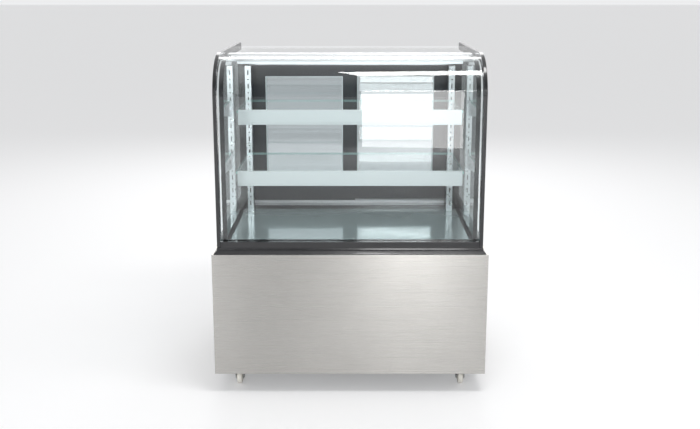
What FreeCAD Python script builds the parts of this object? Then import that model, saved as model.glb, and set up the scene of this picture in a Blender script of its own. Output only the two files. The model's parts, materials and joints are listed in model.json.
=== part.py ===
import FreeCAD, Part
import math
import os
import re

import Sketcher

# Chilled glass display showcase on casters.
# X runs left to right seen from the customer side, Y runs back towards the
# service side, and Z is up. The origin is on the floor, below the middle.

DIMENSIONS = (
    # machine base
    ("base_width", 900.0),
    ("base_depth", 680.0),
    ("panel_height", 414.0),
    ("caster_height", 68.0),
    ("sheet", 1.5),
    ("lip_depth", 20.0),
    ("post_width", 30.0),
    ("post_wall", 3.0),
    ("bearer_depth", 50.0),
    ("bearer_height", 15.0),
    ("apron_height", 110.0),
    ("apron_inset", 6.5),
    ("louvre_length", 150.0),
    ("louvre_height", 6.0),
    ("louvre_pitch", 16.0),
    # glass case
    ("trim_height", 20.0),
    ("trim_flare", 10.0),
    ("case_width", 866.0),
    ("case_depth", 650.0),
    ("case_height", 624.0),
    ("case_setback", 12.0),
    ("rail_proud", 15.0),
    ("end_frame_thick", 12.0),
    ("end_frame_band", 26.0),
    ("bend_radius", 120.0),
    ("pane", 6.0),
    ("front_rail_depth", 32.0),
    ("front_rail_height", 20.0),
    ("groove_depth", 12.0),
    ("seat_gap", 0.3),
    # top
    ("joint_offset", 218.0),
    ("joint_width", 50.0),
    ("joint_height", 26.0),
    ("joint_proud", 2.0),
    ("light_height", 9.0),
    ("light_width", 24.0),
    # deck
    ("slab_height", 46.0),
    ("slab_rise", 4.0),
    ("deck_plate_height", 4.0),
    ("deck_rear", 210.0),
    ("gasket_width", 8.0),
    ("gasket_height", 6.0),
    ("grille_depth", 118.0),
    ("grille_row_gap", 14.0),
    ("grille_margin", 8.0),
    ("grille_slot_length", 36.0),
    ("grille_slot_width", 10.0),
    ("grille_pitch", 54.0),
    ("tub_depth", 40.0),
    # rear wall and sliding doors
    ("jamb_width", 30.0),
    ("rear_wall_depth", 100.0),
    ("header_height", 50.0),
    ("header_depth", 60.0),
    ("door_thick", 16.0),
    ("door_gap", 6.0),
    ("door_front", 52.0),
    ("door_lap", 20.0),
    ("door_side_gap", 0.5),
    ("track_plate", 2.0),
    ("track_rib", 3.0),
    ("track_lower_rib_height", 8.0),
    ("track_upper_rib_height", 10.0),
    ("track_clearance", 1.5),
    ("door_lift", 3.0),
    ("door_head_gap", 3.3),
    ("stile_outer", 60.0),
    ("stile_inner", 47.5),
    ("door_bottom_rail", 78.0),
    ("door_top_rail", 50.0),
    ("door_pane", 10.0),
    ("shoe_length", 40.0),
    ("shoe_width", 12.0),
    ("pull_width", 24.0),
    ("pull_height", 140.0),
    ("pull_depth", 3.0),
    # shelving
    ("standard_width", 22.0),
    ("standard_depth", 30.0),
    ("standard_height", 557.0),
    ("standard_wall", 2.0),
    ("standard_overlap", 7.0),
    ("slot_width", 4.0),
    ("slot_length", 18.0),
    ("slot_pitch", 50.0),
    ("slot_start", 31.0),
    ("peg_hole", 5.0),
    ("slot_count", 11.0),
    ("shelf_glass", 8.0),
    ("shelf_overhang", 3.0),
    ("shelf_rear_gap", 30.0),
    ("upper_depth", 285.0),
    ("lower_depth", 340.0),
    ("upper_slot", 7.0),
    ("lower_slot", 3.0),
    ("bracket_thick", 3.0),
    ("bracket_height", 60.0),
    ("bracket_tip", 16.0),
    ("bracket_setback", 40.0),
    ("hook_drop", 45.0),
    ("hook_height", 15.0),
    ("hook_length", 7.0),
    ("strip_height", 50.0),
    ("strip_thick", 14.0),
    ("strip_rise", 2.0),
    ("strip_end", 5.0),
    ("strip_grip", 8.0),
    ("shelf_light_height", 8.0),
    ("shelf_light_depth", 16.0),
    # casters
    ("wheel_diameter", 50.0),
    ("wheel_width", 18.0),
    ("wheel_crown", 3.0),
    ("caster_inset_x", 73.0),
    ("caster_inset_front", 55.0),
    ("caster_inset_rear", 75.0),
    ("caster_trail", 20.0),
    ("caster_plate", 3.0),
    ("caster_plate_size", 64.0),
    ("race_radius", 17.0),
    ("race_height", 9.0),
    ("kingpin_radius", 5.0),
    ("axle_radius", 4.0),
    ("running_fit", 0.05),
    ("fork_plate", 2.7),
    ("fork_side", 2.5),
    ("fork_clearance", 1.5),
    ("fork_length", 26.0),
    ("pedal_pin_radius", 2.0),
    ("pedal_barrel_radius", 4.0),
    ("pedal_reach", 26.0),
    ("pedal_thick", 3.0),
    # machine
    ("compressor_radius", 85.0),
    ("compressor_height", 150.0),
    ("fan_radius", 100.0),
    ("fan_clearance", 4.0),
    ("fan_depth", 18.0),
    ("hub_radius", 24.0),
    ("motor_radius", 32.0),
    ("motor_length", 36.0),
    ("coil_width", 300.0),
    ("coil_height", 260.0),
    ("louvre_gap", 12.0),
    ("blade_chord", 34.0),
    ("blade_thick", 3.0),
    ("blade_edge", 2.0),
    ("shaft_reach", 8.0),
    ("fan_x", 60.0),
    ("compressor_inset", 210.0),
    ("foot_radius", 14.0),
    ("boss_radius", 8.0),
    ("boss_height", 6.0),
    ("coil_depth", 32.0),
    ("line_radius", 5.0),
    ("cold_fan_radius", 48.0),
    ("cold_fan_depth", 20.0),
    ("cold_hub_radius", 14.0),
    ("cold_fan_inset", 120.0),
    ("cold_fan_y", 100.0),
    ("cold_frame_wall", 8.0),
    ("cold_coil_width", 370.0),
    ("cold_coil_depth", 100.0),
    ("tub_margin", 20.0),
    # controls
    ("controller_width", 78.0),
    ("controller_height", 34.0),
    ("bezel_lap", 5.0),
    ("bezel_depth", 3.0),
    ("control_depth", 40.0),
    ("switch_width", 14.0),
    ("switch_height", 26.0),
    ("switch_wall", 2.0),
    ("gland_radius", 9.0),
    ("gland_bore", 4.0),
    ("gland_stem", 14.0),
    ("control_drop", 82.0),
    ("switch_x", 120.0),
    ("gland_x", 260.0),
    ("rocker_pin", 1.5),
    ("rocker_inset", 4.0),
    ("rocker_gap", 1.6),
    ("switch_depth", 22.0),
    ("foot_gap", 4.0),
)

# Sizes and places that follow from the driving dimensions.
FORMULAS = {
    "half_width": "base_width / 2",
    "base_front": "-base_depth / 2",
    "base_rear": "base_depth / 2",
    "base_top": "caster_height + panel_height",
    "inner_half": "half_width - sheet",
    "inner_front": "base_front + sheet",
    "inner_rear": "base_rear - sheet",
    "pan_top": "caster_height + 2 * sheet",
    "apron_face": "base_rear - apron_inset",
    "case_half": "case_width / 2",
    "case_front": "base_front + case_setback",
    "case_rear": "case_front + case_depth",
    "case_floor": "base_top + trim_height",
    "case_crest": "case_floor + case_height",
    "pane_outer": "case_half - end_frame_thick",
    "pane_inner": "pane_outer - pane",
    "glass_half": "pane_inner - seat_gap",
    "glass_front": "case_front + rail_proud",
    "glass_top": "case_crest - rail_proud",
    "roof_under": "glass_top - pane",
    "bend_y": "glass_front + bend_radius",
    "bend_z": "glass_top - bend_radius",
    "well_front": "case_front + front_rail_depth",
    "slab_top": "base_top + slab_rise",
    "slab_under": "slab_top - slab_height",
    "deck_top": "slab_top + deck_plate_height",
    "grille_rear": "well_front + grille_depth",
    "wall_rear": "deck_rear + rear_wall_depth",
    "joint_front": "glass_front + joint_offset",
    "joint_rear": "joint_front + joint_width",
    "joint_top": "glass_top + joint_proud",
    "joint_under": "joint_top - joint_height",
    "jamb_inner": "pane_inner - jamb_width",
    "header_front": "wall_rear - header_depth",
    "header_under": "roof_under - header_height",
    "left_door_y": "deck_rear + door_front",
    "right_door_y": "left_door_y + door_thick + door_gap",
    "door_bottom": "case_floor + track_plate + door_lift",
    "door_top": "header_under - track_plate - door_head_gap",
    "door_outer": "jamb_inner - door_side_gap",
    "door_width": "door_outer + door_lap",
    "standard_front": "deck_rear - standard_depth",
    "standard_inner": "jamb_inner + standard_overlap - standard_width",
    "standard_middle": "standard_inner + standard_width / 2",
    "slot_base": "deck_top + slot_start",
    "shelf_half": "standard_middle + shelf_overhang",
    "shelf_rear": "standard_front - shelf_rear_gap",
    "strip_half": "shelf_half - strip_end",
    "upper_under": "slot_base + upper_slot * slot_pitch + hook_drop",
    "lower_under": "slot_base + lower_slot * slot_pitch + hook_drop",
    "wheel_radius": "wheel_diameter / 2",
    "caster_x": "half_width - caster_inset_x",
    "caster_front_y": "base_front + caster_inset_front",
    "caster_rear_y": "base_rear - caster_inset_rear",
    "race_under": "caster_height - caster_plate - race_height",
    "fork_top": "race_under - seat_gap",
    "fork_inner": "wheel_width / 2 + fork_clearance",
    "fork_outer": "fork_inner + fork_side",
    "coil_rear": "inner_rear - louvre_gap",
    "coil_front": "coil_rear - coil_depth",
    "coil_top": "pan_top + coil_height",
    "fan_y": "coil_front - 2 * fan_depth",
    "fan_z": "pan_top + coil_height / 2",
    "shaft_radius": "line_radius - 1",
    "compressor_x": "-(half_width - compressor_inset)",
    "compressor_top": "pan_top + foot_gap + compressor_height + compressor_radius",
    "tub_floor": "slab_top - tub_depth",
    "cold_fan_x": "-(jamb_inner - cold_fan_inset)",
    "control_z": "base_top - control_drop",
    "control_panel_z": "base_top - apron_height",
}

document = FreeCAD.newDocument("display_showcase")
sheet = document.addObject("Spreadsheet::Sheet", "dims")
SIDES = (("left", -1), ("right", 1))
nodes = []


def fill_sheet():
    """Put each driving dimension in a cell of its own, under its alias."""
    for row, (alias, size) in enumerate(DIMENSIONS, start=1):
        sheet.set("A%d" % row, alias.replace("_", " "))
        sheet.set("B%d" % row, str(size))
        sheet.setAlias("B%d" % row, alias)
    document.recompute()


def expand(formula):
    """Write a formula in terms of the sheet's aliases only."""
    def swap(match):
        word = match.group(0)
        if word in FORMULAS:
            return "(" + expand(FORMULAS[word]) + ")"
        if word in ALIASES:
            return "dims." + word
        return word
    return re.sub(r"[a-z][a-z0-9_]*", swap, str(formula))


ALIASES = {alias for alias, size in DIMENSIONS}


def value(formula):
    """Work a formula out as a plain number."""
    return float(sheet.evalExpression(expand(formula)))


def bind(item, prop, formula):
    """Tie one property to the sheet."""
    item.setExpression(prop, expand(formula))


def place(item, x, y, z):
    """Tie an object's position to the sheet."""
    bind(item, ".Placement.Base.x", x)
    bind(item, ".Placement.Base.y", y)
    bind(item, ".Placement.Base.z", z)


def add(kind, label):
    """Add one object under its own label."""
    item = document.addObject(kind, label)
    item.Label = label
    return item


def box(label, x, y, z, dx, dy, dz):
    """A box from its low corner and its three sizes."""
    item = add("Part::Box", label)
    bind(item, "Length", dx)
    bind(item, "Width", dy)
    bind(item, "Height", dz)
    place(item, x, y, z)
    return item


def span_box(label, x, y, z):
    """A box from its low and high limit along each axis."""
    sizes = ["(%s) - (%s)" % (high, low) for low, high in (x, y, z)]
    return box(label, x[0], y[0], z[0], *sizes)


TURNS = {
    "x": FreeCAD.Rotation(FreeCAD.Vector(0, 1, 0), 90),
    "y": FreeCAD.Rotation(FreeCAD.Vector(1, 0, 0), -90),
    "z": FreeCAD.Rotation(),
}


def cylinder(label, axis, x, y, z, radius, length):
    """A cylinder that starts at a point and runs along one positive axis."""
    item = add("Part::Cylinder", label)
    item.Placement = FreeCAD.Placement(FreeCAD.Vector(), TURNS[axis])
    bind(item, "Radius", radius)
    bind(item, "Height", length)
    place(item, x, y, z)
    return item


def cut(label, base, tool):
    """Take one object, or several, away from another."""
    item = add("Part::Cut", label)
    item.Base = base
    item.Tool = group(label + "_tools", tool) if isinstance(tool, list) else tool
    return item


def fuse(label, parts):
    """Join touching objects in one solid."""
    item = add("Part::MultiFuse", label)
    item.Shapes = parts
    item.Refine = True
    return item


def group(label, parts):
    """Keep separate solids together."""
    item = add("Part::Compound", label)
    item.Links = parts
    return item


def mirrored(label, source):
    """The same piece on the other side of the middle plane."""
    item = add("Part::Mirroring", label)
    item.Source = source
    item.Normal = (1, 0, 0)
    return item


def both_sides(node, source):
    """File a right-hand piece and its left-hand mirror image."""
    keep(node + "_right", source)
    keep(node + "_left", mirrored(node + "_left", source))


def keep(node, item):
    """File an object as a finished sub-part."""
    item.Label = node
    nodes.append((node, item))
    return item


PLANES = {"x": "YZ_Plane", "y": "XZ_Plane", "z": "XY_Plane"}


def origin_plane(body, axis):
    """The body's own origin plane across an axis."""
    for feature in body.Origin.OriginFeatures:
        if feature.Role == PLANES[axis]:
            return feature


def outline(body, axis, offset, points, arcs):
    """A closed, fully constrained sketch across an axis.

    points holds (u, v) formulas in order. arcs maps the number of a side to
    (centre u, centre v, radius, 1 for anticlockwise or -1 for clockwise).
    """
    sketch = body.newObject("Sketcher::SketchObject", body.Name + "_sketch")
    sketch.AttachmentSupport = [(origin_plane(body, axis), "")]
    sketch.MapMode = "FlatFace"
    bind(sketch, ".AttachmentOffset.Base.z", offset)
    places = [FreeCAD.Vector(value(u), value(v), 0) for u, v in points]
    count = len(points)
    starts = []
    ends = []
    for side in range(count):
        here = places[side]
        there = places[(side + 1) % count]
        if side not in arcs:
            sketch.addGeometry(Part.LineSegment(here, there), False)
            starts.append(1)
            ends.append(2)
            continue
        centre_u, centre_v, radius, way = arcs[side]
        centre = FreeCAD.Vector(value(centre_u), value(centre_v), 0)
        first, last = (here, there) if way > 0 else (there, here)
        angles = [math.atan2(p.y - centre.y, p.x - centre.x) for p in (first, last)]
        if angles[1] < angles[0]:
            angles[1] += 2 * math.pi
        circle = Part.Circle(centre, FreeCAD.Vector(0, 0, 1), value(radius))
        sketch.addGeometry(Part.ArcOfCircle(circle, *angles), False)
        starts.append(1 if way > 0 else 2)
        ends.append(2 if way > 0 else 1)
    for side in range(count):
        after = (side + 1) % count
        sketch.addConstraint(Sketcher.Constraint("Coincident", side, ends[side], after, starts[after]))
        for name, formula in zip(("DistanceX", "DistanceY"), points[side]):
            limit = Sketcher.Constraint(name, -1, 1, side, starts[side], value(formula))
            number = sketch.addConstraint(limit)
            bind(sketch, "Constraints[%d]" % number, formula)
    for side, (centre_u, centre_v, radius, way) in arcs.items():
        number = sketch.addConstraint(Sketcher.Constraint("Radius", side, value(radius)))
        bind(sketch, "Constraints[%d]" % number, radius)
    return sketch


def padded(label, axis, start, length, points, arcs=None):
    """A PartDesign body: an outline across an axis, padded along it."""
    body = add("PartDesign::Body", label)
    offset = "-((%s) + (%s))" % (start, length) if axis == "y" else start
    sketch = outline(body, axis, offset, points, arcs or {})
    pad = body.newObject("PartDesign::Pad", label + "_pad")
    pad.Profile = sketch
    bind(pad, "Length", length)
    return body


def rectangle(u, v):
    """The four corners of a rectangle, from its limits."""
    return [(u[0], v[0]), (u[1], v[0]), (u[1], v[1]), (u[0], v[1])]


def case_outline(inset):
    """The side view of the glass case, this far inside its outer line."""
    front = "case_front + %s" % inset
    rear = "case_rear - %s" % inset
    floor = "case_floor + %s" % inset
    top = "case_crest - %s" % inset
    radius = "bend_radius + rail_proud - %s" % inset
    points = [(front, floor), (rear, floor), (rear, top), ("bend_y", top), (front, "bend_z")]
    arcs = {3: ("bend_y", "bend_z", radius, 1)}
    return points, arcs


# ---------------------------------------------------------------- machine base

def make_base():
    """The floor pan, the folded panels, the posts and the rear panels."""
    keep("base_pan", span_box("base_pan", ("-inner_half", "inner_half"), ("inner_front", "inner_rear"),
                              ("caster_height", "pan_top")))
    lip_rear = "base_front + lip_depth"
    front_panel = [("base_front", "caster_height"), ("inner_front", "caster_height"),
                   ("inner_front", "base_top - sheet"), (lip_rear, "base_top - sheet"),
                   (lip_rear, "base_top"), ("base_front", "base_top")]
    keep("front_panel", padded("front_panel", "x", "-half_width", "base_width", front_panel))
    side_web = span_box("side_web", ("inner_half", "half_width"), ("inner_front", "base_rear"),
                        ("caster_height", "base_top - sheet"))
    side_lip = span_box("side_lip", ("half_width - lip_depth", "half_width"), (lip_rear, "base_rear"),
                        ("base_top - sheet", "base_top"))
    both_sides("side_panel", fuse("side_panel", [side_web, side_lip]))
    make_base_frame()
    make_rear_panels()


def make_base_frame():
    """Four corner angles and the two bearers that carry the deck."""
    members = []
    for side, hand in SIDES:
        outer = "%d * inner_half" % hand
        inner = "%d * (inner_half - post_width)" % hand
        web = "%d * (inner_half - post_wall)" % hand
        for end, way, face in (("front", 1, "inner_front"), ("rear", -1, "apron_face - sheet")):
            far = "%s + %d * post_width" % (face, way)
            leg = "%s + %d * post_wall" % (face, way)
            corners = [(outer, face), (inner, face), (inner, leg), (web, leg), (web, far), (outer, far)]
            name = "post_%s_%s" % (end, side)
            members.append(padded(name, "z", "pan_top", "base_top - sheet - pan_top", corners))
    bearer_x = ("-(inner_half - post_width)", "inner_half - post_width")
    bearer_z = ("slab_under - bearer_height", "slab_under")
    front_y = ("inner_front + seat_gap", "inner_front + bearer_depth")
    rear_y = ("apron_face - sheet - bearer_depth", "apron_face - sheet - seat_gap")
    members.append(span_box("bearer_front", bearer_x, front_y, bearer_z))
    members.append(span_box("bearer_rear", bearer_x, rear_y, bearer_z))
    keep("base_frame", group("base_frame", members))


def make_rear_panels():
    """The louvred service panel and, above it, the recessed control apron."""
    panel_top = "control_panel_z"
    sheet_y = ("inner_rear", "base_rear")
    panel = span_box("louvre_sheet", ("-inner_half", "inner_half"), sheet_y, ("pan_top", panel_top))
    slots = []
    columns = 3
    rows = 13
    for column in range(columns):
        middle = "%d * (louvre_length + 40)" % (column - 1)
        for row in range(rows):
            low = "pan_top + 30 + %d * louvre_pitch" % row
            slots.append(span_box("louvre_%d_%d" % (column, row),
                                  (middle + " - louvre_length / 2", middle + " + louvre_length / 2"),
                                  ("inner_rear - sheet", "base_rear + sheet"),
                                  (low, low + " + louvre_height")))
    keep("rear_louvre_panel", cut("rear_louvre_panel", panel, slots))
    face = span_box("apron_sheet", ("-inner_half", "inner_half"), ("apron_face - sheet", "apron_face"),
                    (panel_top + " + sheet", "base_top - sheet"))
    shelf = span_box("apron_shelf", ("-inner_half", "inner_half"), ("apron_face - sheet", "base_rear"),
                     (panel_top, panel_top + " + sheet"))
    openings = [
        span_box("controller_hole", ("-controller_width / 2", "controller_width / 2"),
                 ("apron_face - 4 * sheet", "base_rear"),
                 ("control_z - controller_height / 2", "control_z + controller_height / 2")),
        span_box("switch_hole", ("switch_x - switch_width / 2", "switch_x + switch_width / 2"),
                 ("apron_face - 4 * sheet", "base_rear"),
                 ("control_z - switch_height / 2", "control_z + switch_height / 2")),
        cylinder("gland_hole", "y", "gland_x", "apron_face - 4 * sheet", "control_z", "gland_radius - 2",
                 "10 * sheet"),
    ]
    keep("rear_apron", cut("rear_apron", fuse("apron_blank", [face, shelf]), openings))


# --------------------------------------------------------------------- casters

def make_casters():
    """Four swivel casters; the front two have a brake pedal."""
    plates = []
    for side, hand in SIDES:
        for end, middle in (("front", "caster_front_y"), ("rear", "caster_rear_y")):
            name = "%s_%s" % (end, side)
            centre = "%d * caster_x" % hand
            plates.append(make_caster_plate(name, centre, middle))
            make_fork(name, centre, middle, end == "front")
            make_wheel(name, centre, middle)
            if end == "front":
                make_pedal(name, centre, middle)
    keep("caster_plates", group("caster_plates", plates))


def make_caster_plate(name, x, y):
    """The top plate with its swivel race."""
    half = "caster_plate_size / 2"
    plate = span_box("plate_" + name, ("%s - %s" % (x, half), "%s + %s" % (x, half)),
                     ("%s - %s" % (y, half), "%s + %s" % (y, half)),
                     ("caster_height - caster_plate", "caster_height"))
    race = cylinder("race_" + name, "z", x, y, "race_under", "race_radius", "race_height")
    bore = cylinder("race_bore_" + name, "z", x, y, "race_under - 1", "kingpin_radius + running_fit",
                    "race_height + 1")
    return cut("caster_plate_" + name, fuse("plate_and_race_" + name, [plate, race]), bore)


def make_fork(name, x, y, braked):
    """A fork with its kingpin and its axle."""
    axle_y = "%s + caster_trail" % y
    top = span_box("fork_top_" + name, ("%s - fork_outer" % x, "%s + fork_outer" % x),
                   ("%s - fork_length / 2" % y, "%s + wheel_radius / 2" % axle_y),
                   ("fork_top - fork_plate", "fork_top"))
    parts = [top]
    for leg, hand in SIDES:
        low = "%s + %s" % (x, "fork_inner" if hand > 0 else "-fork_outer")
        high = "%s + %s" % (x, "fork_outer" if hand > 0 else "-fork_inner")
        corners = [("%s - fork_length / 2" % y, "fork_top"),
                   ("%s - 7" % axle_y, "wheel_radius - 7"),
                   ("%s + 7" % axle_y, "wheel_radius - 7"),
                   ("%s + wheel_radius / 2" % axle_y, "fork_top")]
        parts.append(padded("fork_leg_%s_%s" % (name, leg), "x", low, "(%s) - (%s)" % (high, low), corners))
    parts.append(cylinder("kingpin_" + name, "z", x, y, "fork_top - fork_plate", "kingpin_radius",
                          "race_height + fork_plate - 1"))
    parts.append(cylinder("axle_" + name, "x", "%s - fork_outer - 3" % x, axle_y, "wheel_radius",
                          "axle_radius", "2 * fork_outer + 6"))
    if braked:
        parts.append(cylinder("pedal_pin_" + name, "x", "%s - fork_outer - 1" % x,
                              "%s + wheel_radius - pedal_barrel_radius" % axle_y,
                              "fork_top - pedal_barrel_radius - seat_gap",
                              "pedal_pin_radius", "2 * fork_outer + 2"))
        for ear, low in (("a", "%s - fork_outer" % x), ("b", "%s + fork_inner" % x)):
            parts.append(box("pedal_ear_%s_%s" % (name, ear), low, "%s + wheel_radius / 2 - 3" % axle_y,
                             "fork_top - 3 * pedal_barrel_radius", "fork_side",
                             "wheel_radius / 2 + 3", "3 * pedal_barrel_radius"))
    keep("fork_" + name, fuse("fork_" + name, parts))


def make_wheel(name, x, y):
    """A wheel with a crowned tread, turned about its axle."""
    body = add("PartDesign::Body", "wheel_" + name)
    half = "wheel_width / 2"
    bore = "axle_radius + running_fit"
    shoulder = "wheel_radius - wheel_crown"
    points = [("-(%s)" % half, bore), (half, bore), (half, shoulder), ("%s - wheel_crown" % half, "wheel_radius"),
              ("-(%s - wheel_crown)" % half, "wheel_radius"), ("-(%s)" % half, shoulder)]
    sketch = outline(body, "y", "0", points, {})
    turned = body.newObject("PartDesign::Revolution", "tread_" + name)
    turned.Profile = sketch
    turned.ReferenceAxis = (sketch, ["H_Axis"])
    turned.Angle = 360
    place(body, x, "%s + caster_trail" % y, "wheel_radius")
    keep("wheel_" + name, body)


def make_pedal(name, x, y):
    """A brake pedal that turns on its pin above the wheel."""
    pin_y = "%s + caster_trail + wheel_radius - pedal_barrel_radius" % y
    pin_z = "fork_top - pedal_barrel_radius - seat_gap"
    width = "2 * (fork_inner - seat_gap)"
    low = "%s - fork_inner + seat_gap" % x
    barrel = cylinder("pedal_barrel_" + name, "x", low, pin_y, pin_z, "pedal_barrel_radius", width)
    plate = box("pedal_plate_" + name, low, pin_y, "%s + pedal_barrel_radius - pedal_thick" % pin_z, width,
                "pedal_reach", "pedal_thick")
    bore = cylinder("pedal_bore_" + name, "x", "%s - 1" % low, pin_y, pin_z,
                    "pedal_pin_radius + running_fit", "%s + 2" % width)
    keep("pedal_" + name, cut("pedal_" + name, fuse("pedal_blank_" + name, [barrel, plate]), bore))


# --------------------------------------------------------------------- machine

def make_machine():
    """The condensing unit in the base and the cooler under the deck."""
    make_compressor()
    make_condenser()
    make_cooler()


def make_compressor():
    """A welded compressor shell on four feet, with its discharge boss."""
    floor = "pan_top + foot_gap"
    shell = cylinder("compressor_can", "z", "compressor_x", "0", floor, "compressor_radius", "compressor_height")
    dome = add("Part::Sphere", "compressor_dome")
    dome.Angle1 = 0
    bind(dome, "Radius", "compressor_radius")
    place(dome, "compressor_x", "0", "%s + compressor_height" % floor)
    boss = cylinder("compressor_boss", "z", "compressor_x", "0", "compressor_top - boss_height", "boss_radius",
                    "2 * boss_height")
    parts = [shell, dome, boss]
    for side, hand in SIDES:
        for end, way in (("front", -1), ("rear", 1)):
            parts.append(cylinder("compressor_foot_%s_%s" % (end, side), "z",
                                  "compressor_x + %d * compressor_radius * 0.8" % hand,
                                  "%d * compressor_radius / 2" % way, "pan_top", "foot_radius",
                                  "foot_gap + foot_radius"))
    keep("compressor", fuse("compressor", parts))


def make_condenser():
    """Coil, shroud, fan and motor, in line behind the louvres."""
    width = ("fan_x - coil_width / 2", "fan_x + coil_width / 2")
    height = ("pan_top", "coil_top")
    keep("condenser_coil", span_box("condenser_coil", width, ("coil_front", "coil_rear"), height))
    plate = span_box("shroud_block", width, ("fan_y", "coil_front"), height)
    mouth = cylinder("shroud_mouth", "y", "fan_x", "fan_y - 1", "fan_z", "fan_radius + fan_clearance",
                     "coil_front - fan_y + 2")
    keep("condenser_shroud", cut("condenser_shroud", plate, mouth))
    keep("condenser_fan", make_fan("condenser_fan", "y", ("fan_x", "fan_y + blade_edge", "fan_z"),
                                   "fan_radius", "hub_radius", "fan_depth"))
    motor_y = "fan_y - motor_length"
    motor = cylinder("motor_can", "y", "fan_x", motor_y, "fan_z", "motor_radius", "motor_length - seat_gap")
    stub = cylinder("motor_shaft", "y", "fan_x", motor_y, "fan_z", "shaft_radius", "motor_length + shaft_reach")
    arm = span_box("motor_arm", width, ("fan_y - sheet - seat_gap", "fan_y - seat_gap"),
                   ("fan_z - boss_radius", "fan_z + boss_radius"))
    keep("fan_motor", fuse("fan_motor", [motor, stub, arm]))


def make_fan(label, axis, centre, radius, hub, depth):
    """A fan rotor: a hub with a blind shaft bore and five pitched blades."""
    blade_count = 5
    body = add("PartDesign::Body", label + "_rotor")
    base = "blade_edge"
    blade = outline(body, "x", "(%s) - blade_edge" % hub,
                    [("-blade_chord / 2", base), ("-blade_chord / 2 + 2 * blade_thick", base),
                     ("blade_chord / 2", "(%s) - blade_edge" % depth),
                     ("blade_chord / 2 - 2 * blade_thick", "(%s) - blade_edge" % depth)], {})
    pad = body.newObject("PartDesign::Pad", label + "_blade")
    pad.Profile = blade
    bind(pad, "Length", "(%s) - (%s) + blade_edge" % (radius, hub))
    document.recompute()
    ring = body.newObject("PartDesign::PolarPattern", label + "_blades")
    ring.Originals = [pad]
    ring.Axis = (blade, ["V_Axis"])
    ring.Angle = 360
    ring.Occurrences = blade_count
    body.Tip = ring
    body.Placement = FreeCAD.Placement(FreeCAD.Vector(), TURNS[axis])
    place(body, *centre)
    drum = cylinder(label + "_hub", axis, *centre, hub, depth)
    before = [item + " - 1" if way == axis else item for item, way in zip(centre, "xyz")]
    bore = cylinder(label + "_bore", axis, *before, "shaft_radius + running_fit", "shaft_reach + 4")
    return cut(label, fuse(label + "_blank", [drum, body]), bore)


def make_cooler():
    """The evaporator, its fan and the pipes down to the base."""
    depth = ("cold_fan_y - cold_coil_depth / 2", "cold_fan_y + cold_coil_depth / 2")
    start = "cold_fan_x + cold_fan_radius + cold_frame_wall + tub_margin"
    coil = span_box("evaporator_block", (start, "%s + cold_coil_width" % start), depth,
                    ("tub_floor", "slab_top - foot_gap"))
    half = "cold_fan_radius + cold_frame_wall"
    frame = span_box("cold_fan_block", ("cold_fan_x - (%s)" % half, "cold_fan_x + %s" % half),
                     ("cold_fan_y - (%s)" % half, "cold_fan_y + %s" % half),
                     ("tub_floor", "tub_floor + foot_gap + cold_fan_depth + foot_gap"))
    mouth = cylinder("cold_fan_mouth", "z", "cold_fan_x", "cold_fan_y", "tub_floor + post_wall",
                     "cold_fan_radius + fan_clearance", "tub_depth")
    post = cylinder("cold_fan_post", "z", "cold_fan_x", "cold_fan_y", "tub_floor", "shaft_radius",
                    "foot_gap + shaft_reach")
    cup = fuse("cold_fan_frame", [cut("cold_fan_cup", frame, mouth), post])
    keep("evaporator_coil", group("evaporator_coil", [coil, cup]))
    keep("evaporator_fan", make_fan("evaporator_fan", "z",
                                    ("cold_fan_x", "cold_fan_y", "tub_floor + foot_gap"),
                                    "cold_fan_radius", "cold_hub_radius", "cold_fan_depth"))
    suction = cylinder("suction_line", "z", "compressor_x", "0", "compressor_top + boss_height", "line_radius",
                       "slab_under - compressor_top - boss_height")
    liquid = cylinder("liquid_line", "z", "fan_x + coil_width / 2 - foot_radius",
                      "(coil_front + coil_rear) / 2", "coil_top", "line_radius / 2",
                      "slab_under - bearer_height - coil_top")
    keep("refrigerant_lines", group("refrigerant_lines", [suction, liquid]))


# ------------------------------------------------------------------------ deck

def make_deck():
    """The insulated slab, the display deck and what seals it."""
    slab = span_box("slab_block", ("-pane_inner", "pane_inner"), ("well_front", "wall_rear"),
                    ("slab_under", "slab_top"))
    fan_side = "cold_fan_x - cold_fan_radius - cold_frame_wall - tub_margin"
    tub_width = "2 * (cold_fan_radius + cold_frame_wall) + cold_coil_width + 3 * tub_margin"
    tub = box("slab_tub", fan_side, "cold_fan_y - cold_coil_depth / 2 - tub_margin", "tub_floor", tub_width,
              "cold_coil_depth + 2 * tub_margin", "tub_depth + 1")
    keep("insulated_deck", cut("insulated_deck", slab, tub))
    deck_half = "pane_inner - gasket_width"
    keep("deck_plate", span_box("deck_plate", ("-(%s)" % deck_half, deck_half), ("grille_rear", "deck_rear"),
                                ("slab_top", "deck_top")))
    make_grille(deck_half)
    for_side = [("-pane_inner", "-(%s)" % deck_half), (deck_half, "pane_inner")]
    strips = [span_box("gasket_%s" % side, limits, ("well_front", "deck_rear"),
                       ("slab_top", "slab_top + gasket_height"))
              for (side, hand), limits in zip(SIDES, for_side)]
    keep("deck_gaskets", group("deck_gaskets", strips))
    make_trim()


def make_grille(deck_half):
    """The slotted air grille in front of the deck."""
    plate = span_box("grille_plate", ("-(%s)" % deck_half, deck_half), ("well_front", "grille_rear"),
                     ("slab_top", "deck_top"))
    slots = []
    columns = 15
    rows = 3
    for row in range(rows):
        low = "grille_rear - grille_margin - %d * (grille_slot_width + grille_row_gap) - grille_slot_width" % row
        for column in range(columns):
            middle = "%d * grille_pitch" % (column - columns // 2)
            slots.append(span_box("grille_slot_%d_%d" % (row, column),
                                  (middle + " - grille_slot_length / 2", middle + " + grille_slot_length / 2"),
                                  (low, low + " + grille_slot_width"),
                                  ("slab_top - 1", "deck_top + 1")))
    keep("front_air_grille", cut("front_air_grille", plate, slots))


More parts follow.
